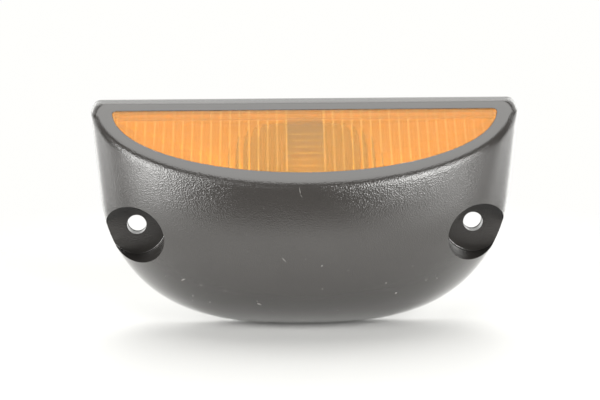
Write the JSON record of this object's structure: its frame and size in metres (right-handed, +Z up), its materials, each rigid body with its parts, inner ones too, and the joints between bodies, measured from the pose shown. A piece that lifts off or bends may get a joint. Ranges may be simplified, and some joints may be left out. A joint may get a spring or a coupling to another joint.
{
  "type": "vehicle indicator lamp",
  "caption": "Panel-mounted amber indicator lamp: dark D-shaped moulded housing, fluted lens in a slanted rim along its straight top, deep wells for the fixing screws.",
  "frame": {"origin": "midway between the two fixing holes, on the rear face of the mounting gasket", "axes": "+X across the lamp to the viewer's right, +Z up towards the straight edge with the lens, +Y into the panel; the lens side faces -Y"},
  "size_m": [0.1256, 0.0348, 0.068],
  "materials": {
    "housing_plastic": "dark grey plastic with a fine leather-like moulded grain",
    "amber_plastic": "clear amber plastic, fluted",
    "seal_rubber": "soft black rubber",
    "mirror_coat": "plastic with a bright metal coat",
    "cover_plastic": "plain dark plastic",
    "zinc_steel": "zinc plated steel",
    "brown_resin": "pressed brown resin",
    "brass": "bare brass",
    "spring_steel": "bright spring wire",
    "clear_glass": "clear blown glass",
    "tungsten": "dark drawn tungsten",
    "nickel_brass": "plated brass",
    "black_glass": "black glass",
    "solder": "dull solder"
  },
  "bodies": {
    "root": {"housing": "housing_plastic", "lens": "amber_plastic", "lens_seal": "seal_rubber", "reflector": "mirror_coat", "back_cover": "cover_plastic", "mounting_gasket": "seal_rubber", "cover_screws": "zinc_steel", "cable_grommet": "seal_rubber", "holder_bracket": "zinc_steel", "bracket_rivets": "zinc_steel", "bulb_socket": "zinc_steel", "contact_disc": "brown_resin", "centre_contact": "brass", "contact_spring": "spring_steel", "supply_terminal": "brass", "earth_terminal": "brass", "bulb_glass": "clear_glass", "bulb_stem": "clear_glass", "filament": "tungsten", "filament_leads": "tungsten", "bulb_cap": "nickel_brass", "bayonet_pins": "nickel_brass", "cap_insulator": "black_glass", "cap_contact": "solder"}
  },
  "joints": []
}
